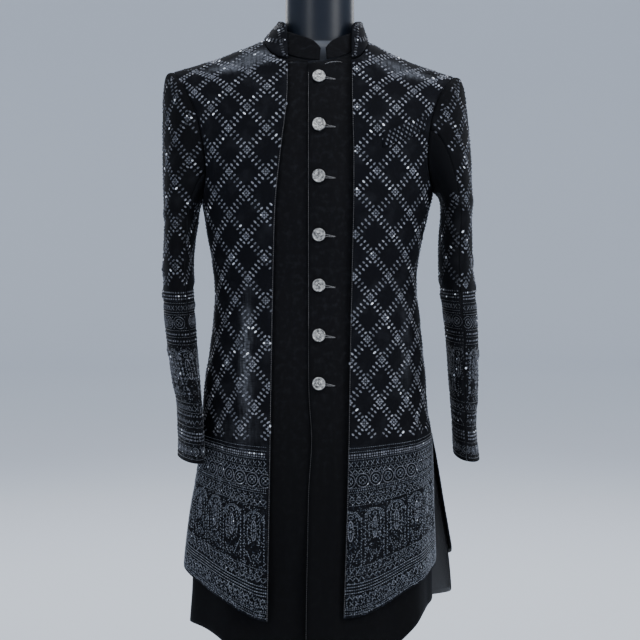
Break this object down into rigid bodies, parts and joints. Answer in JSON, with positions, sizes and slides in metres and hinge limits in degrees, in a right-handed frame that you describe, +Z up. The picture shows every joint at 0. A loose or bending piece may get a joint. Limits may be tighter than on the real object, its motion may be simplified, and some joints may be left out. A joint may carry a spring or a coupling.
{
  "type": "sherwani coat on dress form",
  "caption": "Long two-layer sherwani coat, an open embroidered velvet coat over a buttoned inner coat, on a limbless black dress form with a pole and a round base",
  "frame": {"origin": "centre of the base's underside, on the floor", "axes": "+Z up, the coat faces -Y, the wearer's right is -X"},
  "size_m": [0.4955, 0.34, 1.345],
  "materials": {
    "outer_velvet": "black velvet with thread and sequin embroidery",
    "inner_velvet": "plain black velvet",
    "silver": "polished silver with a textured face",
    "thread": "stitched thread",
    "gloss_black": "glossy black",
    "steel": "brushed steel"
  },
  "bodies": {
    "root": {"outer_front_right": "outer_velvet", "outer_front_left": "outer_velvet", "outer_back": "outer_velvet", "sleeve_top_right": "outer_velvet", "sleeve_under_right": "outer_velvet", "sleeve_top_left": "outer_velvet", "sleeve_under_left": "outer_velvet", "outer_collar": "outer_velvet", "pocket_welt": "outer_velvet", "inner_front_right": "inner_velvet", "inner_front_left": "inner_velvet", "inner_back": "inner_velvet", "inner_collar": "inner_velvet", "button_1": "silver", "button_2": "silver", "button_3": "silver", "button_4": "silver", "button_5": "silver", "button_6": "silver", "button_7": "silver", "buttonhole_1": "thread", "buttonhole_2": "thread", "buttonhole_3": "thread", "buttonhole_4": "thread", "buttonhole_5": "thread", "buttonhole_6": "thread", "buttonhole_7": "thread", "form_body": "gloss_black", "stand_pole": "steel", "stand_base": "steel"}
  },
  "joints": []
}
